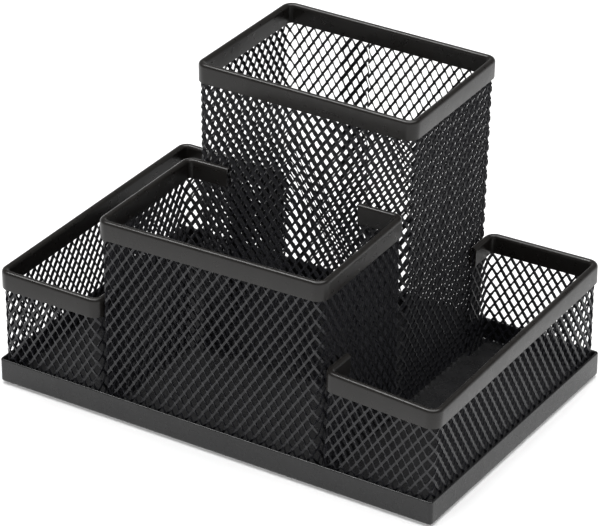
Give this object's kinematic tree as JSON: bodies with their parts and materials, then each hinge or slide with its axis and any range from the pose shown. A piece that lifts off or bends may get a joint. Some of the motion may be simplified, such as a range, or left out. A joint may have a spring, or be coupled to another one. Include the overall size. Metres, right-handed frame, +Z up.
{
  "type": "desk organizer",
  "caption": "Powder-coated steel-mesh desk organizer: a tall cup behind a front cup, with a low tray along each side on one base pan.",
  "frame": {"origin": "centre of the bounding box in plan, on the plane the pads rest on", "axes": "+X along the long side to the right as seen from the front, +Y from the front to the back, +Z up"},
  "size_m": [0.1569, 0.1046, 0.1008],
  "materials": {
    "pan_coat": "satin black powder coat",
    "mesh_coat": "satin black powder coat on expanded mesh",
    "rim_coat": "satin black powder coat",
    "pad_foam": "matt black foam"
  },
  "bodies": {
    "root": {"base_pan": "pan_coat", "tall_cup_mesh": "mesh_coat", "front_cup_mesh": "mesh_coat", "left_tray_mesh": "mesh_coat", "right_tray_mesh": "mesh_coat", "tall_cup_rim": "rim_coat", "front_cup_rim": "rim_coat", "left_tray_rim": "rim_coat", "right_tray_rim": "rim_coat", "pad_front_left": "pad_foam", "pad_front_right": "pad_foam", "pad_back_left": "pad_foam", "pad_back_right": "pad_foam"}
  },
  "joints": []
}
